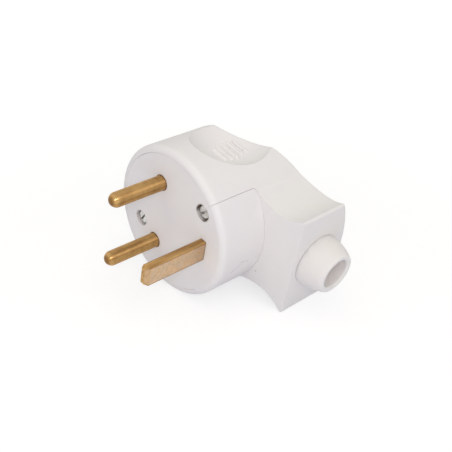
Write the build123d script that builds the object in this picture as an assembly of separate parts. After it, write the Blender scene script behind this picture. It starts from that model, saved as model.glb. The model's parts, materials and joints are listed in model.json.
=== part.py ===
from build123d import *
import math
import os

# Right-angled mains plug for a heavy-duty appliance: a round front body with two round pins and
# one longer flat earth pin, and a flared arm at its side that takes the cord through a soft
# sleeve. A rear cover wraps round a base that carries the pins; two screws in the face hold them
# together. A retainer plate locks the pins, each pin ends in a screw terminal, and a bar clamps
# the cord inside.
#
# All sizes are in millimetres. The model is drawn with X along the arm, Y as the depth behind
# the face (the pins point to -Y) and Z up the face, with the origin at the middle of the face.
# At the end it is tipped about Y until the round body and the arm's lower end corner both touch
# the table, as the plug lies by itself, and moved so that the table is at Z = 0.

# Fits
seam_gap = 0.1              # visible joint between the cover and the base
fit_gap = 0.05              # pins, washers and screws in the holes that hold them
loose_gap = 0.2             # clearance holes and pieces that only lie beside each other

# Round body
drum_radius = 31.0
rim_radius = 2.6            # rounding round the face
shell_wall = 2.8
face_thickness = 4.0

# Arm
arm_front = 21.6            # depth of the arm's flat front
arm_end = 47.2              # from the body's axis to the end face
arm_waist_along = 34.8
arm_waist_inset = 12.6      # from the body's top and bottom in to the waist's sides
arm_neck_angle = 44.5       # degrees from the arm's direction to where its sides leave the body
arm_flare_radius = 18.2     # hollow of the sides from the waist to the end
arm_corner_radius = 0.8
arm_end_wall = 3.0
arm_crease_radius = 2.5

# Crowned rear surface
dome_peak_along = 31.0
dome_peak_depth = 50.8
dome_path_radius = 110.0
dome_crown_radius = 48.0
dome_edge_radius = 0.7
dome_side_margin = 2.0

# Ball-shaped finger scoops at the top and bottom of the body
scoop_radius = 22.5
scoop_floor = 22.3          # distance of the floor from the body's axis
scoop_middle_depth = 27.2
rib_count = 5
rib_pitch = 2.6
rib_middle_depth = 29.0
rib_shift = 1.5             # middle of the ribs, away from the arm
rib_radius = 0.9
rib_reach = 4.4             # half length of the longest rib
rib_group_reach = 8.0       # half depth of the oval that the ribs fill

# Window of the cover, filled by a sector of the base's wall
window_half_angle = 46.5
window_corner_radius = 2.0
base_wall = 3.0
skirt_wall = 2.0
skirt_depth = 7.5

# Round pins
pin_radius = 3.0
pin_length = 24.2
pin_root_step = 0.3         # shoulder of the part inside the base, beyond the pin's radius
pin_along = -7.0
pin_spacing = 28.4
pins_rise = 0.5             # middle of the three pins, above the body's axis

# Earth pin
earth_along = 19.4
earth_length = 27.8
earth_width = 8.8
earth_thickness = 3.8
earth_outer_edge = 0.5
earth_inner_edge = 1.5
earth_bevel_length = 1.8
earth_bevel_width = 1.0

# How the pins sit
boss_depth = 12.0           # depth of the rear faces of the pin bosses
boss_wall = 1.6             # wall of a boss round the pin's collar
collar_step = 1.7           # collar beyond the pin's radius
earth_collar_step = 0.85    # collar beyond the corners of the flat pin
collar_thickness = 2.0
barrel_radius = 4.2         # terminal end of a pin
barrel_length = 5.5

# Retainer plate
retainer_thickness = 2.5
retainer_hub_radius = 9.5
retainer_screw_along = (-4.6, 8.6)
retainer_screw_post_radius = 3.2
retainer_screw_radius = 1.25
retainer_screw_length = 8.0
retainer_screw_head_radius = 2.4
retainer_screw_head_height = 1.6

# Terminals
terminal_screw_radius = 2.0
terminal_screw_length = 8.0
terminal_head_radius = 3.7
terminal_head_height = 2.6
saddle_width = 7.4
saddle_thickness = 1.0
saddle_lip_wall = 0.8
saddle_lip_height = 1.4
spring_washer_radius = 3.5
spring_washer_thickness = 0.9
spring_washer_split = 0.8
spring_washer_turn = 60     # degrees from the arm's direction to the split

# Screws that hold the housing together
wall_screw_turn = 43.3      # degrees from the arm's direction to the screw beside the wall
wall_screw_room = 0.8       # from its post to the base's wall
boss_screw_turn = 151.0     # degrees from the neutral pin to the screw beside its boss
boss_screw_room = 0.25      # from its post to the boss
housing_screw_radius = 1.5
housing_screw_length = 14.0
housing_head_radius = 2.85
housing_head_height = 2.2
housing_head_sink = 0.9
recess_room = 0.3           # round a head in its recess
post_radius = 4.0
post_depth = 11.0           # where the base's posts meet the cover's posts
nut_sides = 6
nut_flats = 5.5
nut_height = 2.4
nut_floor = 2.0             # plastic in front of a nut

# Shape of every screw
slot_width = 0.9
slot_depth = 0.8
head_rounding = 0.25        # share of a head's height that is rounded off
point_taper = 0.3           # share of a shank's radius that is bevelled off at its point

# Cord sleeve
sleeve_margin = 2.0         # from the arm's front to the sleeve's base
sleeve_base_radius = 11.0
sleeve_collar = 0.8
sleeve_length = 10.8
sleeve_tip_radius = 8.2
sleeve_bulge = 0.7
sleeve_tip_edge = 0.8
sleeve_bore_radius = 6.2
sleeve_neck_wall = 2.4
sleeve_flange = 2.0

# Cord clamp
clamp_along = 24.0
clamp_half_span = 10.5
clamp_squeeze = 1.6
clamp_bar_thickness = 3.0
clamp_bar_width = 7.0
clamp_rib_height = 0.8
clamp_rib_width = 1.2
clamp_rib_pitch = 3.8
clamp_post_radius = 3.2
clamp_screw_radius = 1.45
clamp_screw_length = 12.0
clamp_head_radius = 2.7
clamp_head_height = 2.0
saddle_block_length = 7.0
saddle_block_wall = 1.2

# Worked out from the sizes above
bore_radius = drum_radius - shell_wall
disc_radius = bore_radius - seam_gap
far_depth = dome_peak_depth + shell_wall
ahead = -shell_wall
arm_waist_half = drum_radius - arm_waist_inset
pin_root_radius = pin_radius + pin_root_step
nut_half_turn = 180 / nut_sides
scoop_axis = scoop_floor + scoop_radius
cable_depth = arm_front + sleeve_margin + sleeve_base_radius
flange_radius = cable_depth - arm_front - shell_wall - loose_gap
neck_radius = sleeve_bore_radius + sleeve_neck_wall
recess_radius = housing_head_radius + recess_room
round_pins = {
    "line": (pin_along, pins_rise + pin_spacing / 2),
    "neutral": (pin_along, pins_rise - pin_spacing / 2),
}
earth_place = (earth_along, pins_rise)
retainer_screws = [(along, pins_rise) for along in retainer_screw_along]
wall_screw_reach = drum_radius - base_wall - wall_screw_room - post_radius
all_pins = {**round_pins, "earth": earth_place}
collar_radius = pin_radius + collar_step
boss_screw_reach = collar_radius + boss_wall + boss_screw_room + post_radius
earth_collar_radius = math.hypot(earth_width, earth_thickness) / 2 + earth_collar_step
barrel_end = boss_depth + barrel_length
saddle_length = 2 * (barrel_radius + loose_gap + saddle_lip_wall)


def at_depth(depth):
    """Sketch plane across the pins; its normal points towards their tips."""
    return Plane.XZ.offset(-depth)


def polar(middle, reach, turn):
    """Place at a distance from another one, turned up from the arm's direction."""
    turn = math.radians(turn)
    return (middle[0] + reach * math.cos(turn), middle[1] + reach * math.sin(turn))


def block(sketch, front, back):
    """Solid of a sketch between two depths."""
    return extrude(at_depth(front) * sketch, amount=front - back)


def rod(along, up, radius, front, back):
    return block(Pos(along, up) * Circle(radius), front, back)


# Places of the two screws in the face

housing_screws = (
    polar((0, 0), wall_screw_reach, wall_screw_turn),
    polar(round_pins["neutral"], boss_screw_reach, boss_screw_turn),
)


# Shapes that the cover and the base share


def drum_blank(back):
    """Round body from the face to a depth, with its rounded rim."""
    body = rod(0, 0, drum_radius, 0, back)
    rim = body.edges().sort_by(Axis.Y)[0]
    return fillet(rim, rim_radius)


def sector(half_angle, front, back):
    """Wedge about the arm's direction with rounded rear corners."""
    reach = 2 * drum_radius
    side = reach * math.sin(math.radians(half_angle))
    out = reach * math.cos(math.radians(half_angle))
    wedge = block(make_face(Polyline((0, 0), (out, -side), (out, side), close=True)), front, back)
    rear = wedge.faces().sort_by(Axis.Y)[-1]
    corners = [edge for edge in rear.edges() if edge.center().X < out - fit_gap]
    return fillet(corners, window_corner_radius)


def side_height(along, hollow, inset):
    """Half height of the arm at a place along it, on one of its hollow sides."""
    radius = hollow + inset
    middle = arm_waist_half + hollow
    return middle - math.sqrt(radius**2 - (along - arm_waist_along) ** 2)


def neck_hollow():
    """Radius of the arm's sides from the waist to where they leave the body."""
    along = arm_waist_along - drum_radius * math.cos(math.radians(arm_neck_angle))
    rise = drum_radius * math.sin(math.radians(arm_neck_angle)) - arm_waist_half
    return (along**2 + rise**2) / (2 * rise)


def neck_place(radius, inset):
    """Where the arm's side runs into a circle about the body's axis."""
    arm_neck_radius = neck_hollow()
    middle = (arm_waist_along, arm_waist_half + arm_neck_radius)
    hollow = arm_neck_radius + inset
    distance = math.hypot(*middle)
    along = (distance**2 + radius**2 - hollow**2) / (2 * distance)
    across = math.sqrt(radius**2 - along**2)
    unit = (middle[0] / distance, middle[1] / distance)
    return (along * unit[0] + across * unit[1], along * unit[1] - across * unit[0])


def arm_profile(radius, end, inset):
    """Outline of the arm from inside the round body to its end."""
    neck = neck_place(radius, inset)
    waist = (arm_waist_along, arm_waist_half - inset)
    tip = (end, side_height(end, arm_flare_radius, inset))
    middle_neck = (neck[0] + waist[0]) / 2
    middle_flare = (waist[0] + tip[0]) / 2
    through_neck = (middle_neck, side_height(middle_neck, neck_hollow(), inset))
    through_flare = (middle_flare, side_height(middle_flare, arm_flare_radius, inset))
    top = [
        Line((0, neck[1]), neck),
        ThreePointArc(neck, through_neck, waist),
        ThreePointArc(waist, through_flare, tip),
    ]
    bottom = [mirror(edge, about=Plane.XZ) for edge in top]
    closing = [Line(tip, (tip[0], -tip[1])), Line((0, neck[1]), (0, -neck[1]))]
    return make_face([*top, *bottom, *closing])


def dome(inset):
    """All that lies in front of the crowned rear surface, which is moved in by the inset."""
    half = drum_radius + dome_side_margin
    crown = dome_crown_radius - inset
    top = dome_peak_depth - inset
    edge = top - crown + math.sqrt(crown**2 - half**2)
    hub = dome_peak_depth - dome_path_radius
    outline = make_face(
        [
            Line((hub, -half), (edge, -half)),
            ThreePointArc((edge, -half), (top, 0), (edge, half)),
            Line((edge, half), (hub, half)),
            Line((hub, half), (hub, -half)),
        ]
    )
    turning = Axis((dome_peak_along, hub, 0), (0, 0, 1))
    return revolve(Plane.YZ.offset(dome_peak_along) * outline, axis=turning, revolution_arc=360)


def scoop(inset):
    """Ball that hollows the top of the body for a finger."""
    return Pos(0, scoop_middle_depth, scoop_axis) * Sphere(scoop_radius + inset)


def rib(index):
    """One raised bar across the floor of the upper scoop, following its curve."""
    offset = (index - (rib_count - 1) / 2) * rib_pitch
    depth = rib_middle_depth + offset
    curve = math.sqrt(scoop_radius**2 - (depth - scoop_middle_depth) ** 2)
    reach = rib_reach * math.sqrt(1 - (offset / rib_group_reach) ** 2)
    half_angle = math.degrees(reach / curve)
    shift_angle = math.degrees(rib_shift / curve)
    turning = Axis((0, depth, scoop_axis), (0, 1, 0))
    ring = Plane.YZ * (Pos(depth, scoop_axis - curve) * Circle(rib_radius))
    bar = revolve(ring, axis=turning, revolution_arc=2 * half_angle)
    end = Pos(0, depth, scoop_axis - curve) * Sphere(rib_radius)
    whole = bar.rotate(turning, -half_angle)
    whole = whole + [end.rotate(turning, half_angle), end.rotate(turning, -half_angle)]
    return whole.rotate(turning, shift_angle)


def on_both_sides(shape):
    """A shape at the top of the body and its mirror image at the bottom."""
    return [shape, mirror(shape, about=Plane.XY)]


# Cover


def cover_outside():
    arm = block(arm_profile(drum_radius, arm_end, 0), arm_front, far_depth)
    corners = arm.edges().filter_by(Axis.Y).group_by(Axis.X)[-1]
    body = drum_blank(far_depth) + fillet(corners, arm_corner_radius)
    neck = neck_place(drum_radius, 0)
    creases = [
        edge
        for edge in body.edges().filter_by(Axis.Y)
        if abs(edge.center().X - neck[0]) < fit_gap
    ]
    body = (fillet(creases, arm_crease_radius) - on_both_sides(scoop(0))) & dome(0)
    rear = body.faces().filter_by(GeomType.TORUS).sort_by(SortBy.AREA)[-1]
    return fillet(rear.edges(), dome_edge_radius)


def cover_inside():
    drum = rod(0, 0, bore_radius, ahead, far_depth)
    arm_hollow = arm_profile(bore_radius, arm_end - arm_end_wall, shell_wall)
    arm = block(arm_hollow, arm_front + shell_wall, far_depth)
    return (drum + arm - on_both_sides(scoop(shell_wall))) & dome(shell_wall)


def nut_trap(place):
    """Six-sided seat for a nut, open towards the body's axis so that the nut slides in."""
    front = post_depth + nut_floor
    width = nut_flats + 2 * loose_gap
    seat = RegularPolygon(width / 2, nut_sides, major_radius=False)
    way_in = Pos(-post_radius, 0) * Rectangle(2 * post_radius, width)
    turn = math.degrees(math.atan2(place[1], place[0]))
    outline = Pos(*place) * Rot(0, 0, turn) * (Rot(0, 0, nut_half_turn) * seat + way_in)
    return block(outline, front, front + nut_height + 2 * fit_gap)


def cover_posts():
    """Posts that the two face screws draw the cover up by."""
    posts = [rod(*place, post_radius, post_depth, far_depth) for place in housing_screws]
    holes = [
        rod(*place, housing_screw_radius + loose_gap, post_depth, screw_end() + nut_height)
        for place in housing_screws
    ]
    traps = [nut_trap(place) for place in housing_screws]
    return posts, holes + traps


def clamp_seat():
    """Two posts and a hollowed block that the cord is clamped against."""
    front = bar_rear()
    posts = [rod(clamp_along, up, clamp_post_radius, front, far_depth) for up in clamp_ends()]
    width = 2 * (sleeve_bore_radius + saddle_block_wall)
    cradle = block(Pos(clamp_along, 0) * Rectangle(saddle_block_length, width), cable_depth, far_depth)
    cord = Pos(clamp_along, cable_depth, 0) * Rot(0, 90, 0) * Cylinder(sleeve_bore_radius, arm_end)
    holes = [
        rod(clamp_along, up, clamp_screw_radius + fit_gap, front, clamp_screw_end() + fit_gap)
        for up in clamp_ends()
    ]
    return [*posts, cradle - cord], holes


def make_cover():
    shell = cover_outside() - cover_inside() - sector(window_half_angle, ahead, arm_front)
    posts, post_holes = cover_posts()
    seats, seat_holes = clamp_seat()
    limit = dome(shell_wall / 2)
    shell = shell + [piece & limit for piece in posts + seats]
    ribs = [piece for index in range(rib_count) for piece in on_both_sides(rib(index))]
    shell = shell + ribs
    end_hole = Pos(arm_end, cable_depth, 0) * Rot(0, 90, 0)
    end_hole = end_hole * Cylinder(neck_radius + fit_gap, 2 * (arm_end_wall + fit_gap))
    return shell - [*post_holes, *seat_holes, end_hole]


# Base


def earth_section(extra):
    """Section of the flat pin: flat on the outer side, rounder on the side of the round pins."""
    bar = Rectangle(earth_thickness, earth_width)
    outer = bar.vertices().group_by(Axis.X)[-1]
    bar = fillet(outer, earth_outer_edge)
    inner = bar.vertices().group_by(Axis.X)[0]
    bar = fillet(inner, earth_inner_edge)
    return offset(bar, extra) if extra else bar


def make_base():
    plate = rod(0, 0, disc_radius, 0, face_thickness)
    gap_angle = math.degrees(seam_gap / drum_radius)
    key = sector(window_half_angle - gap_angle, 0, arm_front - seam_gap)
    hollow = rod(0, 0, drum_radius - base_wall, face_thickness, arm_front)
    base = (drum_blank(arm_front) & (key - hollow)) + plate
    skirt = rod(0, 0, disc_radius, face_thickness, skirt_depth)
    base = base + (skirt - rod(0, 0, disc_radius - skirt_wall, face_thickness, skirt_depth))
    collar_front = boss_depth - collar_thickness
    cuts = []
    for place in round_pins.values():
        base = base + rod(*place, collar_radius + boss_wall, 0, boss_depth)
        cuts.append(rod(*place, pin_root_radius + fit_gap, 0, collar_front))
        cuts.append(rod(*place, collar_radius + fit_gap, collar_front, boss_depth))
    base = base + rod(*earth_place, earth_collar_radius + boss_wall, 0, boss_depth)
    cuts.append(block(Pos(*earth_place) * earth_section(fit_gap), 0, collar_front))
    cuts.append(rod(*earth_place, earth_collar_radius + fit_gap, collar_front, boss_depth))
    for place in housing_screws:
        base = base + rod(*place, post_radius, 0, post_depth)
        cuts.append(rod(*place, housing_screw_radius + loose_gap, 0, post_depth))
        cuts.append(rod(*place, recess_radius, 0, housing_head_sink + housing_head_height))
    for place in retainer_screws:
        base = base + rod(*place, retainer_screw_post_radius, 0, boss_depth)
        hole_front = boss_depth + retainer_thickness - retainer_screw_length - fit_gap
        cuts.append(rod(*place, retainer_screw_radius + fit_gap, hole_front, boss_depth))
    return base - cuts


# Pins and what holds them


def pin_barrel(place):
    """Terminal end of a pin with its tapped hole."""
    barrel = rod(*place, barrel_radius, boss_depth - collar_thickness, barrel_end)
    hole_front = barrel_end + saddle_thickness + spring_washer_thickness
    hole_front = hole_front - terminal_screw_length - fit_gap
    return barrel, rod(*place, terminal_screw_radius + fit_gap, hole_front, barrel_end)


def make_round_pin(place):
    shank = rod(*place, pin_radius, pin_radius - pin_length, 0)
    root = rod(*place, pin_root_radius, 0, boss_depth)
    tip = Pos(place[0], pin_radius - pin_length, place[1]) * Sphere(pin_radius)
    collar = rod(*place, collar_radius, boss_depth - collar_thickness, boss_depth)
    barrel, hole = pin_barrel(place)
    return shank + tip + root + collar + barrel - hole


def bevelled(width, back):
    """Side view of the flat pin with the two corners of its tip cut off."""
    half = width / 2
    start = earth_bevel_length - earth_length
    tip = half - earth_bevel_width
    return make_face(
        Polyline(
            (-half, back), (-half, start), (-tip, -earth_length), (tip, -earth_length),
            (half, start), (half, back), close=True,
        )
    )


def make_earth_pin():
    bar = block(Pos(*earth_place) * earth_section(0), -earth_length, boss_depth)
    flat = extrude(bevelled(earth_thickness, boss_depth), amount=earth_width, both=True)
    edge = extrude(bevelled(earth_width, boss_depth), amount=earth_width, both=True)
    middle = Pos(earth_place[0], 0, earth_place[1])
    bar = bar & (middle * flat) & (middle * edge.rotate(Axis.Y, 90))
    collar_front = boss_depth - collar_thickness
    collar = rod(*earth_place, earth_collar_radius, collar_front, boss_depth)
    barrel, hole = pin_barrel(earth_place)
    return bar + collar + barrel - hole


def retainer_outline():
    """Hub with an arm out to each pin."""
    middle = (sum(retainer_screw_along) / len(retainer_screw_along), pins_rise)
    outline = Pos(*middle) * Circle(retainer_hub_radius)
    for name, place in all_pins.items():
        half = (earth_collar_radius if name == "earth" else collar_radius) + boss_wall
        way = (place[0] - middle[0], place[1] - middle[1])
        length = math.hypot(*way)
        turn = math.degrees(math.atan2(way[1], way[0]))
        arm = SlotCenterToCenter(length, 2 * half)
        half_way = Pos(middle[0] + way[0] / 2, middle[1] + way[1] / 2)
        outline = outline + half_way * Rot(0, 0, turn) * arm
    return outline


def make_retainer():
    back = boss_depth + retainer_thickness
    plate = block(retainer_outline(), boss_depth, back)
    holes = [rod(*place, barrel_radius + loose_gap, boss_depth, back) for place in all_pins.values()]
    for place in retainer_screws:
        holes.append(rod(*place, retainer_screw_radius + loose_gap, boss_depth, back))
    return plate - holes


# Screws, nuts and washers


def slotted_screw(head_radius, head_height, shank_radius, length):
    """Screw whose head's underside is at depth 0 and whose shank runs to +Y."""
    head = rod(0, 0, head_radius, -head_height, 0)
    crown = head.edges().filter_by(GeomType.CIRCLE).sort_by(Axis.Y)[0]
    head = fillet(crown, head_rounding * head_height)
    slot = Rectangle(slot_width, 2 * head_radius + slot_width)
    slot = block(slot, -head_height, slot_depth - head_height)
    shank = rod(0, 0, shank_radius, 0, length)
    point = shank.edges().filter_by(GeomType.CIRCLE).sort_by(Axis.Y)[-1]
    return (head - slot) + chamfer(point, point_taper * shank_radius)


def facing_back(shape):
    return shape.rotate(Axis.Z, 180)


def screw_end():
    return housing_head_sink + housing_head_height + housing_screw_length


def clamp_ends():
    return (-clamp_half_span, clamp_half_span)


def bar_rear():
    return cable_depth - sleeve_bore_radius + clamp_squeeze


def clamp_screw_end():
    return bar_rear() - clamp_bar_thickness + clamp_screw_length


def make_housing_screw(place):
    screw = slotted_screw(
        housing_head_radius, housing_head_height, housing_screw_radius, housing_screw_length
    )
    turn = math.degrees(math.atan2(place[1], place[0]))
    screw = screw.rotate(Axis.Y, turn)
    return Pos(place[0], housing_head_sink + housing_head_height, place[1]) * screw


def make_housing_nut(place):
    front = post_depth + nut_floor + fit_gap
    turn = math.degrees(math.atan2(place[1], place[0]))
    outline = RegularPolygon(nut_flats / 2, nut_sides, major_radius=False)
    outline = Rot(0, 0, turn + nut_half_turn) * outline - Circle(housing_screw_radius + fit_gap)
    return block(Pos(*place) * outline, front, front + nut_height)


def make_retainer_screw(place):
    screw = slotted_screw(
        retainer_screw_head_radius,
        retainer_screw_head_height,
        retainer_screw_radius,
        retainer_screw_length,
    )
    return Pos(place[0], boss_depth + retainer_thickness, place[1]) * facing_back(screw)


def make_terminal_washer(place):
    """Saddle whose two lips keep the bare core under the screw."""
    front = barrel_end
    back = front + saddle_thickness
    plate = block(Rectangle(saddle_length, saddle_width), front, back)
    lip = Rectangle(saddle_lip_wall, saddle_width)
    reach = (saddle_length - saddle_lip_wall) / 2
    lips = [block(Pos(side * reach, 0) * lip, front - saddle_lip_height, back) for side in (-1, 1)]
    washer = plate + lips - rod(0, 0, terminal_screw_radius + loose_gap, front, back)
    return Pos(place[0], 0, place[1]) * washer


def make_spring_washer(place):
    front = barrel_end + saddle_thickness
    ring = Circle(spring_washer_radius) - Circle(terminal_screw_radius + loose_gap)
    split = Pos(spring_washer_radius, 0) * Rectangle(2 * spring_washer_radius, spring_washer_split)
    ring = ring - Rot(0, 0, spring_washer_turn) * split
    washer = block(ring, front, front + spring_washer_thickness)
    return Pos(place[0], 0, place[1]) * washer


def make_terminal_screw(place):
    screw = slotted_screw(
        terminal_head_radius, terminal_head_height, terminal_screw_radius, terminal_screw_length
    )
    seat = barrel_end + saddle_thickness + spring_washer_thickness
    return Pos(place[0], seat, place[1]) * facing_back(screw)


# Cord clamp and sleeve


def make_clamp_bar():
    back = bar_rear()
    front = back - clamp_bar_thickness
    outline = Rot(0, 0, 90) * SlotCenterToCenter(2 * clamp_half_span, clamp_bar_width)
    bar = block(Pos(clamp_along, 0) * outline, front, back)
    grip = Rectangle(clamp_rib_width, 2 * sleeve_bore_radius)
    ribs = [
        block(Pos(along, 0) * grip, back, back + clamp_rib_height)
        for along in (clamp_along - clamp_rib_pitch / 2, clamp_along + clamp_rib_pitch / 2)
    ]
    holes = [
        rod(clamp_along, up, clamp_screw_radius + loose_gap, front, back) for up in clamp_ends()
    ]
    return bar + ribs - holes


def make_clamp_screw(up):
    screw = slotted_screw(
        clamp_head_radius, clamp_head_height, clamp_screw_radius, clamp_screw_length
    )
    return Pos(clamp_along, bar_rear() - clamp_bar_thickness, up) * screw


def make_sleeve():
    """Soft sleeve turned about the cord, with a neck in the arm's end wall."""
    face = arm_end + fit_gap
    tip = face + sleeve_length
    inner = arm_end - arm_end_wall - fit_gap
    start = face + sleeve_collar
    bulge = (sleeve_base_radius + sleeve_tip_radius) / 2 + sleeve_bulge
    outline = make_face(
        [
            Line((inner - sleeve_flange, sleeve_bore_radius), (inner - sleeve_flange, flange_radius)),
            Line((inner - sleeve_flange, flange_radius), (inner, flange_radius)),
            Line((inner, flange_radius), (inner, neck_radius)),
            Line((inner, neck_radius), (face, neck_radius)),
            Line((face, neck_radius), (face, sleeve_base_radius)),
            Line((face, sleeve_base_radius), (start, sleeve_base_radius)),
            ThreePointArc(
                (start, sleeve_base_radius), ((start + tip) / 2, bulge), (tip, sleeve_tip_radius)
            ),
            Line((tip, sleeve_tip_radius), (tip, sleeve_bore_radius)),
            Line((tip, sleeve_bore_radius), (inner - sleeve_flange, sleeve_bore_radius)),
        ]
    )
    mouth = [vertex for vertex in outline.vertices() if vertex.X > tip - fit_gap]
    outline = fillet(mouth, sleeve_tip_edge)
    return Pos(0, cable_depth, 0) * revolve(outline, axis=Axis.X, revolution_arc=360)


# The whole plug


def make_pieces():
    pieces = {"cover": make_cover(), "pin_base": make_base(), "pin_retainer": make_retainer()}
    for name, place in round_pins.items():
        pieces[f"{name}_pin"] = make_round_pin(place)
    pieces["earth_pin"] = make_earth_pin()
    for name, place in all_pins.items():
        pieces[f"{name}_terminal_screw"] = make_terminal_screw(place)
        pieces[f"{name}_terminal_washer"] = make_terminal_washer(place)
        pieces[f"{name}_spring_washer"] = make_spring_washer(place)
    for number, place in enumerate(retainer_screws, 1):
        pieces[f"retainer_screw_{number}"] = make_retainer_screw(place)
    for number, place in enumerate(housing_screws, 1):
        pieces[f"housing_screw_{number}"] = make_housing_screw(place)
        pieces[f"housing_nut_{number}"] = make_housing_nut(place)
    pieces["cord_clamp_bar"] = make_clamp_bar()
    for number, up in enumerate(clamp_ends(), 1):
        pieces[f"cord_clamp_screw_{number}"] = make_clamp_screw(up)
    pieces["cable_sleeve"] = make_sleeve()
    return pieces


def rest_angle():
    """Tip about Y at which the round body and the arm's lower end corner both touch the table."""
    along = arm_end - arm_corner_radius
    flare = arm_flare_radius + arm_corner_radius
    up = arm_waist_half + arm_flare_radius
    up = up - math.sqrt(flare**2 - (along - arm_waist_along) ** 2)
    drop = math.asin((drum_radius - arm_corner_radius) / math.hypot(along, up))
    return math.degrees(drop - math.atan2(up, along))


def laid_down(pieces):
    """The pieces as the plug lies on a table, with the origin under the middle of their box."""
    tipped = {name: piece.rotate(Axis.Y, rest_angle()) for name, piece in pieces.items()}
    box = Compound(children=[Compound(piece.solids()) for piece in tipped.values()]).bounding_box()
    middle = box.center()
    shift = Pos(-middle.X, -middle.Y, drum_radius)
    return {name: shift * piece for name, piece in tipped.items()}


def main():
    os.makedirs("parts", exist_ok=True)
    for name, piece in laid_down(make_pieces()).items():
        export_step(Compound(piece.solids()), f"parts/{name}.step")


main()
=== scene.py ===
import json

import bpy
from mathutils import Matrix, Vector


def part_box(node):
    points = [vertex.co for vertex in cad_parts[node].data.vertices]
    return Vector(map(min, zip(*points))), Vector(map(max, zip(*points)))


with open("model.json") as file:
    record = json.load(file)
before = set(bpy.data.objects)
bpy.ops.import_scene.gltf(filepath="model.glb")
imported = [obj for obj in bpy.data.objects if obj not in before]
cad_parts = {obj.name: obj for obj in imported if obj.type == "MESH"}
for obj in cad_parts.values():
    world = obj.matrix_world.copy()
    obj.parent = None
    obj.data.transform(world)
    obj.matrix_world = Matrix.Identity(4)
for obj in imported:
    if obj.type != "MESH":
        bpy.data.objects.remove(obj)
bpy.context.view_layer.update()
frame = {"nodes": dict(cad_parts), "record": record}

# Looks of the right-angled mains plug: warm white moulded plastic, scuffed drawn brass pins and
# two zinc plated screws sunk in the face, on a white floor in soft studio light.
# Everything is in metres, in the row's frame: +X along the arm, -Y the way the pins point.

MM = 0.001

# Camera, worked out from the photograph: place in metres, directions, lens in millimetres
CAMERA_PLACE = Vector((0.18643, -0.17287, 0.17651))
CAMERA_LOOK = Vector((-0.62590, 0.60132, -0.49666))
CAMERA_UP = Vector((-0.37356, 0.32787, 0.86773))
CAMERA_LENS = 60.18
SENSOR_WIDTH = 36.0
NEAREST_SEEN = 0.01
FARTHEST_SEEN = 20.0

# Lamps: place, side of the square in metres, watts and colour
LAMP_AIM = Vector((0.0, 0.0, 0.03))
OVERHEAD = {"place": (0.10, -0.12, 0.80), "side": 1.6, "watts": 3.15, "colour": (1.0, 0.975, 0.855)}
FRONT = {"place": (0.42, -0.38, 0.36), "side": 0.16, "watts": 1.3, "colour": (1.0, 0.985, 1.0)}

# Surround and floor, where a white thing would be 1
WORLD_LEVEL = 0.53
FLOOR_REACH = 3.0
FLOOR_DROP = 0.02 * MM
FLOOR_COOL = (0.81, 0.825, 0.90)
FLOOR_PALE = (0.82, 0.835, 0.91)
FLOOR_SEEN = (0.45, 0.45, 0.45)
FLOOR_GLOW = 0.61
FLOOR_FAR_GLOW = 0.80
NEAR_PLUG = 0.1
FAR_FROM_PLUG = 0.5

# The plug's own directions, which are tipped about Y against the table
ARM_WAY = Vector((0.980739, 0.0, -0.195324))
FACE_UP = Vector((0.195324, 0.0, 0.980739))
PIN_WAY = Vector((0.0, -1.0, 0.0))

# The dark ring round a screw is painted shadow under the recess's rim on one side and grime on the
# other; it is thickest at the two sides that lie along this direction
SHADOW_AND_GRIME_WAY = (FACE_UP * 0.55 - ARM_WAY * 0.83).normalized()

# Sizes taken from the part
RECESS_RADIUS = 3.15 * MM
EARTH_HALF_WIDTH = 4.4 * MM

# Plastic and metal
PLASTIC_IOR = 1.49
GLOSS = 0.58
SLEEVE_GLOW = 0.8
GLOW_DEPTH = 3.0 * MM
CORNER = 1.0 * MM

# Colours as linear values
COVER_COLOUR = (0.805, 0.783, 0.772)
BASE_COLOUR = (0.805, 0.780, 0.775)
SLEEVE_COLOUR = (0.785, 0.757, 0.740)
BRASS_COLOUR = (0.60, 0.37, 0.145)
BRASS_STAIN = (0.36, 0.190, 0.066)
# Dark brown painted on the pins' tips as a painted reflection
TIP_PAINTED_DARK_REFLECTION = (0.19, 0.090, 0.028)
SANDY_BRASS = (0.69, 0.48, 0.30)
SANDY_STAIN = (0.50, 0.31, 0.16)
SANDY_GREY = (0.62, 0.48, 0.34)
STEEL_COLOUR = (0.72, 0.72, 0.72)
STEEL_STAIN = (0.44, 0.42, 0.38)
# Dark brown for grime and for painted shade and shadow
GRIME_AND_PAINTED_SHADE = (0.085, 0.052, 0.024)
# Pale colour painted into hollows as painted light
PAINTED_LIGHT_IN_HOLLOWS = (0.99, 0.98, 0.97)
SCUFF = (0.30, 0.27, 0.24)

# Marks that the photograph shows: two ends and a half width in millimetres, and a strength
BASE_MARKS = (
    ((14.4, -4.9, 18.0), (16.0, -0.2, 22.1), 0.50, 0.40),
    ((16.0, -0.2, 22.1), (15.6, 3.2, 21.0), 0.50, 0.50),
    ((15.1, -2.6, 19.6), (15.8, 1.3, 21.6), 0.20, 0.50),
)
COVER_MARKS = (
    ((13.5, 10.1, 12.3), (13.6, 10.1, 12.6), 0.32, 0.90),
    ((8.0, -1.4, 53.0), (8.2, -1.1, 53.0), 0.22, 0.70),
)


# Node helpers


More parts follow.
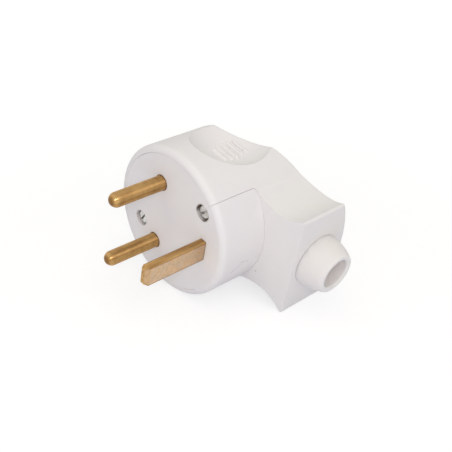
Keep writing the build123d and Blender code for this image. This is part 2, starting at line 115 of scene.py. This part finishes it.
class Nodes:
    """Short way to write a material's node tree."""

    def __init__(self, name):
        """Starts a material, with the point's place on the object at hand."""
        self.material = bpy.data.materials.new(name)
        self.material.use_nodes = True
        self.tree = self.material.node_tree
        self.shader = self.tree.nodes["Principled BSDF"]
        self.place = self.add("ShaderNodeTexCoord").outputs["Object"]

    def add(self, kind, **settings):
        """Adds a node and sets its properties."""
        node = self.tree.nodes.new(kind)
        for key, value in settings.items():
            setattr(node, key, value)
        return node

    def link(self, source, target):
        self.tree.links.new(source, target)

    def put(self, target, value):
        """Sets a socket to a value, or links it where the value is a socket."""
        if hasattr(value, "is_linked"):
            self.link(value, target)
        else:
            target.default_value = value

    def math(self, operation, first, second=0.0, clamp=False):
        """Result of an operation on two numbers."""
        node = self.add("ShaderNodeMath", operation=operation, use_clamp=clamp)
        self.put(node.inputs[0], first)
        self.put(node.inputs[1], second)
        return node.outputs[0]

    def noise(self, scale, detail=3.0, place=None, roughness=0.5):
        """Soft noise about one half, with its scale in waves per metre."""
        node = self.add("ShaderNodeTexNoise")
        self.link(place or self.place, node.inputs["Vector"])
        node.inputs["Scale"].default_value = scale
        node.inputs["Detail"].default_value = detail
        node.inputs["Roughness"].default_value = roughness
        return node.outputs["Fac"]

    def spread(self, value, low, high, start=0.0, end=1.0):
        """Maps a range of a value to another range, and holds it there."""
        node = self.add("ShaderNodeMapRange")
        self.put(node.inputs["Value"], value)
        node.inputs["From Min"].default_value = low
        node.inputs["From Max"].default_value = high
        node.inputs["To Min"].default_value = start
        node.inputs["To Max"].default_value = end
        return node.outputs["Result"]

    def mix(self, share, first, second):
        """Colour between two others."""
        node = self.add("ShaderNodeMix", data_type="RGBA")
        self.put(node.inputs["Factor"], share)
        colours = [socket for socket in node.inputs if socket.type == "RGBA"]
        for socket, value in zip(colours, (first, second)):
            self.put(socket, value if hasattr(value, "is_linked") else (*value, 1.0))
        return next(socket for socket in node.outputs if socket.type == "RGBA")

    def stretched(self, scale):
        """The point's place with its axes scaled, for grain that runs one way."""
        node = self.add("ShaderNodeMapping")
        self.link(self.place, node.inputs["Vector"])
        node.inputs["Scale"].default_value = scale
        return node.outputs["Vector"]

    def vector(self, operation, first, second=None, scale=None):
        """Outputs of a vector operation."""
        node = self.add("ShaderNodeVectorMath", operation=operation)
        self.put(node.inputs[0], first)
        if second is not None:
            self.put(node.inputs[1], second)
        if scale is not None:
            self.put(node.inputs["Scale"], scale)
        return node.outputs

    def dot(self, first, second):
        return self.vector("DOT_PRODUCT", first, second)["Value"]

    def hollow(self, distance, low, high, most):
        """Share that is most in a tight corner and none in the open."""
        node = self.add("ShaderNodeAmbientOcclusion", samples=8)
        node.inputs["Distance"].default_value = distance
        return self.spread(node.outputs["AO"], low, high, most, 0.0)

    def ring(self, middle, radius, most):
        """Share of grime and painted shadow in and round a hole along Y, thickest at two opposite
        sides.
        """
        away = self.vector("SUBTRACT", self.place, middle)["Vector"]
        across = self.vector("MULTIPLY", away, Vector((1.0, 0.0, 1.0)))["Vector"]
        apart = self.vector("LENGTH", across)["Value"]
        side = self.math("ABSOLUTE", self.dot(across, SHADOW_AND_GRIME_WAY))
        side = self.spread(side, 0.45 * radius, 0.9 * radius)
        reach = self.math("MULTIPLY", self.math("ADD", side, 0.3), 0.5 * MM)
        beyond = self.math("DIVIDE", self.math("SUBTRACT", apart, radius), reach)
        near = self.spread(beyond, 0.0, 1.0, most, 0.0)
        patches = self.spread(self.noise(600.0, 2.0), 0.3, 0.5, 0.4, 0.6)
        uneven = self.math("MULTIPLY", patches, near)
        return self.math("MULTIPLY", self.math("ADD", side, 0.7), uneven)

    def mark(self, start, end, reach, most):
        """Share of a scuff that runs between two points and fades at its sides."""
        start, end = Vector(start) * MM, Vector(end) * MM
        run = end - start
        away = self.vector("SUBTRACT", self.place, start)["Vector"]
        along = self.dot(away, run / run.length_squared)
        along = self.math("ADD", along, 0.0, clamp=True)
        nearest = self.vector("SCALE", run, scale=along)["Vector"]
        rest = self.vector("SUBTRACT", away, nearest)["Vector"]
        apart = self.vector("LENGTH", rest)["Value"]
        broken = self.spread(self.noise(1100.0, 3.0), 0.42, 0.62)
        share = self.spread(apart, 0.2 * reach * MM, reach * MM, most, 0.0)
        return self.math("MULTIPLY", share, broken)

    def seen(self):
        """1 where a surface is looked at, straight or in a reflection, and 0 where it only lights."""
        rays = self.add("ShaderNodeLightPath").outputs
        share = self.math("MAXIMUM", rays["Is Camera Ray"], rays["Is Glossy Ray"])
        return self.math("MAXIMUM", share, rays["Is Transmission Ray"])

    def bump(self, height, distance):
        """Gives the surface a relief of a height between 0 and 1 times a distance."""
        node = self.add("ShaderNodeBump")
        node.inputs["Strength"].default_value = 1.0
        node.inputs["Distance"].default_value = distance
        self.link(height, node.inputs["Height"])
        self.link(node.outputs["Normal"], self.shader.inputs["Normal"])


def tinted(colour, shares):
    """Colour with each channel taken by its own share."""
    return tuple(channel * share for channel, share in zip(colour, shares))


# Finishes


def plastic(name, colour, gloss, glow=0.0, marks=(), rings=()):
    """Moulded plastic: faint clouds of tone, a fine grain, scuffs, and grime with painted shadow
    round the screws.

    Tight corners and the joint between the shells are painted pale: painted light that takes away
    their shade.
    """
    nodes = Nodes(name)
    warm = tinted(colour, (1.005, 1.0, 0.98))
    cool = tinted(colour, (0.985, 0.975, 0.995))
    worn = tinted(colour, (0.965, 0.965, 0.965))
    clouds = nodes.noise(55.0)
    wear = nodes.noise(210.0, 5.0)
    tone = nodes.mix(nodes.spread(clouds, 0.3, 0.7), warm, cool)
    tone = nodes.mix(nodes.spread(wear, 0.5, 0.8, 0.0, 0.5), tone, worn)
    # Painted light: tight corners and the joint between the shells are made paler than the plastic.
    tone = nodes.mix(nodes.hollow(CORNER, 0.05, 0.3, 1.0), tone, PAINTED_LIGHT_IN_HOLLOWS)
    for mark in marks:
        tone = nodes.mix(nodes.mark(*mark), tone, SCUFF)
    for middle, most in rings:
        # Grime and painted shadow: a dark ring round each screw hole.
        tone = nodes.mix(nodes.ring(middle, RECESS_RADIUS, most), tone, GRIME_AND_PAINTED_SHADE)
    nodes.link(tone, nodes.shader.inputs["Base Color"])
    smears = nodes.noise(140.0, 4.0)
    rough = nodes.spread(smears, 0.3, 0.7, gloss, gloss + 0.12)
    nodes.link(rough, nodes.shader.inputs["Roughness"])
    grain = nodes.math("MULTIPLY", nodes.noise(1700.0, 2.0), 0.35)
    ripples = nodes.noise(190.0, 2.0)
    nodes.bump(nodes.math("ADD", grain, ripples), 0.03 * MM)
    nodes.shader.inputs["IOR"].default_value = PLASTIC_IOR
    nodes.shader.inputs["Subsurface Weight"].default_value = glow
    nodes.shader.inputs["Subsurface Radius"].default_value = (1.0, 0.95, 0.9)
    nodes.shader.inputs["Subsurface Scale"].default_value = GLOW_DEPTH
    return nodes.material


def metal(nodes, colour, roughness, pit_depth):
    """Finishes a metal from its colour, with fine pits and painted shade where it enters the plastic.
    """
    # Painted shade: the metal is darkened in the tight corners where it enters the plastic.
    painted_corner_shade = nodes.hollow(CORNER, 0.25, 0.75, 0.85)
    nodes.link(nodes.mix(painted_corner_shade, colour, GRIME_AND_PAINTED_SHADE), nodes.shader.inputs["Base Color"])
    nodes.link(roughness, nodes.shader.inputs["Roughness"])
    pits = nodes.noise(2600.0, 3.0)
    nodes.bump(pits, pit_depth)
    nodes.shader.inputs["Metallic"].default_value = 1.0
    return nodes.material


def turned_brass():
    """Round pins, turned in a lathe: rings round the pin, streaks along it and a painted dark
    reflection on the end of the tip.
    """
    nodes = Nodes("turned_brass")
    rings = nodes.noise(700.0, 3.0, nodes.stretched((0.04, 1.0, 0.04)))
    streaks = nodes.noise(900.0, 4.0, nodes.stretched((1.0, 0.08, 1.0)))
    stains = nodes.noise(260.0, 5.0, roughness=0.65)
    share = nodes.spread(streaks, 0.35, 0.7, 0.0, 0.35)
    share = nodes.math("ADD", share, nodes.spread(rings, 0.35, 0.7, 0.0, 0.2))
    share = nodes.math("ADD", share, nodes.spread(stains, 0.42, 0.7, 0.0, 0.45))
    tip = nodes.dot(nodes.add("ShaderNodeTexCoord").outputs["Normal"], PIN_WAY)
    colour = nodes.mix(share, BRASS_COLOUR, BRASS_STAIN)
    # Painted reflection: the end of each tip, which faces the way the pins point, is painted dark
    # brown.
    colour = nodes.mix(nodes.spread(tip, 0.66, 0.9, 0.0, 0.8), colour, TIP_PAINTED_DARK_REFLECTION)
    nodes.shader.inputs["Anisotropic"].default_value = 0.9
    nodes.shader.inputs["Anisotropic Rotation"].default_value = 0.25
    tangent = nodes.add("ShaderNodeTangent", direction_type="RADIAL", axis="Y")
    nodes.link(tangent.outputs["Tangent"], nodes.shader.inputs["Tangent"])
    rough = nodes.spread(stains, 0.3, 0.7, 0.44, 0.54)
    rough = nodes.math("SUBTRACT", rough, nodes.spread(tip, 0.2, 0.5, 0.0, 0.2))
    return metal(nodes, colour, rough, 0.012 * MM)


def pressed_brass():
    """Flat pin: matt sandy broad sides with darker borders, and glossier golden edges."""
    nodes = Nodes("pressed_brass")
    normal = nodes.add("ShaderNodeTexCoord").outputs["Normal"]
    facing = nodes.math("ABSOLUTE", nodes.dot(normal, ARM_WAY))
    broad = nodes.spread(facing, 0.75, 0.95)
    blotches = nodes.noise(480.0, 3.0)
    sandy = nodes.mix(nodes.spread(blotches, 0.4, 0.6), SANDY_BRASS, SANDY_GREY)
    grains = nodes.noise(1300.0, 5.0, nodes.stretched((1.0, 0.6, 1.0)), 0.7)
    sandy = nodes.mix(nodes.spread(grains, 0.45, 0.68, 0.0, 0.75), sandy, SANDY_STAIN)
    away = nodes.vector("SUBTRACT", nodes.place, EARTH_PLACE)["Vector"]
    rise = nodes.math("ABSOLUTE", nodes.dot(away, FACE_UP))
    edge = nodes.spread(rise, EARTH_HALF_WIDTH - 0.9 * MM, EARTH_HALF_WIDTH - 0.5 * MM, 0.0, 0.85)
    sandy = nodes.mix(edge, sandy, BRASS_STAIN)
    streaks = nodes.noise(900.0, 4.0, nodes.stretched((1.0, 0.08, 1.0)))
    golden = nodes.mix(nodes.spread(streaks, 0.35, 0.65), BRASS_COLOUR, BRASS_STAIN)
    colour = nodes.mix(broad, golden, sandy)
    rough = nodes.spread(broad, 0.0, 1.0, 0.26, 0.5)
    return metal(nodes, colour, rough, 0.03 * MM)


def zinc():
    """Screws and nuts: bright zinc with dull patches."""
    nodes = Nodes("zinc_plated_steel")
    stains = nodes.noise(420.0, 5.0, roughness=0.65)
    colour = nodes.mix(nodes.spread(stains, 0.4, 0.7), STEEL_COLOUR, STEEL_STAIN)
    rough = nodes.spread(stains, 0.3, 0.7, 0.26, 0.42)
    return metal(nodes, colour, rough, 0.02 * MM)


# Finish of every piece of the frame


def middle_of(node):
    """Middle of a node's box."""
    low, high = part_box(node)
    return (Vector(low) + Vector(high)) / 2


SCREW_RINGS = [(middle_of("housing_screw_1"), 0.95), (middle_of("housing_screw_2"), 0.4)]
MOUNTS = {mount["name"]: mount["pos_m"] for mount in frame["record"]["mounts"]}
EARTH_PLACE = Vector(MOUNTS["earth_pin"])
FINISH = {
    "housing_plastic": plastic("cover_plastic", COVER_COLOUR, GLOSS, marks=COVER_MARKS),
    "base_plastic": plastic("face_plastic", BASE_COLOUR, GLOSS, marks=BASE_MARKS, rings=SCREW_RINGS),
    "sleeve_plastic": plastic("soft_sleeve_plastic", SLEEVE_COLOUR, GLOSS, glow=SLEEVE_GLOW),
    "pin_brass": turned_brass(),
    "screw_steel": zinc(),
}
FLAT_BRASS = pressed_brass()

for part in frame["record"]["subparts"]:
    piece = frame["nodes"][part["node"]]
    finish = FLAT_BRASS if part["node"] == "earth_pin" else FINISH[part["material_slot"]]
    piece.data.materials.clear()
    piece.data.materials.append(finish)


# White floor that keeps the plug's shadow


def floor_white():
    """Matt floor that looks white and still shows the plug's shadow."""
    nodes = Nodes("floor_white")
    nodes.shader.inputs["Roughness"].default_value = 0.9
    nodes.shader.inputs["Specular IOR Level"].default_value = 0.0
    seen = nodes.seen()
    tone = nodes.mix(nodes.noise(8.0), FLOOR_COOL, FLOOR_PALE)
    nodes.link(nodes.mix(seen, tone, FLOOR_SEEN), nodes.shader.inputs["Base Color"])
    nodes.shader.inputs["Emission Color"].default_value = (1.0, 1.0, 1.0, 1.0)
    away = nodes.vector("LENGTH", nodes.place)["Value"]
    glow = nodes.spread(away, NEAR_PLUG, FAR_FROM_PLUG, FLOOR_GLOW, FLOOR_FAR_GLOW)
    nodes.link(nodes.math("MULTIPLY", seen, glow), nodes.shader.inputs["Emission Strength"])
    return nodes.material


def make_floor():
    """Square floor just below the plug."""
    far = FLOOR_REACH
    corners = [(-far, -far, 0), (far, -far, 0), (far, far, 0), (-far, far, 0)]
    mesh = bpy.data.meshes.new("floor")
    mesh.from_pydata(corners, [], [(0, 1, 2, 3)])
    mesh.materials.append(floor_white())
    floor = bpy.data.objects.new("floor", mesh)
    floor.location.z = -FLOOR_DROP
    bpy.context.scene.collection.objects.link(floor)


make_floor()


# Light: a pale surround, a wide lamp overhead and a small one in front


def make_world():
    """Even surround that looks white and lights the plug more softly."""
    world = bpy.data.worlds.new("studio")
    bpy.context.scene.world = world
    world.use_nodes = True
    tree = world.node_tree
    back = tree.nodes["Background"]
    rays = tree.nodes.new("ShaderNodeLightPath").outputs
    shown = rays["Is Camera Ray"]
    for name in ("Is Glossy Ray", "Is Transmission Ray"):
        either = tree.nodes.new("ShaderNodeMath")
        either.operation = "MAXIMUM"
        tree.links.new(shown, either.inputs[0])
        tree.links.new(rays[name], either.inputs[1])
        shown = either.outputs[0]
    level = tree.nodes.new("ShaderNodeMapRange")
    tree.links.new(shown, level.inputs["Value"])
    level.inputs["To Min"].default_value = WORLD_LEVEL
    level.inputs["To Max"].default_value = 1.0
    back.inputs["Color"].default_value = (1.0, 1.0, 1.0, 1.0)
    tree.links.new(level.outputs["Result"], back.inputs["Strength"])


def make_lamp(name, place, side, watts, colour, glossy):
    """Square lamp that faces the plug and shows in its metal if it is glossy."""
    data = bpy.data.lights.new(name, "AREA")
    data.shape = "SQUARE"
    data.size = side
    data.energy = watts
    data.color = colour
    lamp = bpy.data.objects.new(name, data)
    lamp.location = place
    lamp.visible_glossy = glossy
    lamp.rotation_mode = "QUATERNION"
    lamp.rotation_quaternion = (LAMP_AIM - Vector(place)).to_track_quat("-Z", "Y")
    bpy.context.scene.collection.objects.link(lamp)


make_world()
make_lamp("overhead", **OVERHEAD, glossy=False)
make_lamp("front", **FRONT, glossy=True)


# Camera at the photograph's viewpoint


def make_camera():
    """Camera that looks along its own -Z, with Y upwards."""
    data = bpy.data.cameras.new("camera")
    data.lens = CAMERA_LENS
    data.sensor_width = SENSOR_WIDTH
    data.clip_start = NEAREST_SEEN
    data.clip_end = FARTHEST_SEEN
    camera = bpy.data.objects.new("camera", data)
    back = -CAMERA_LOOK.normalized()
    right = CAMERA_UP.cross(back).normalized()
    up = back.cross(right)
    turn = Matrix((right, up, back)).transposed().to_4x4()
    camera.matrix_world = Matrix.Translation(CAMERA_PLACE) @ turn
    bpy.context.scene.collection.objects.link(camera)
    bpy.context.scene.camera = camera


make_camera()
bpy.context.scene.view_settings.view_transform = "Standard"

bpy.context.view_layer.update()
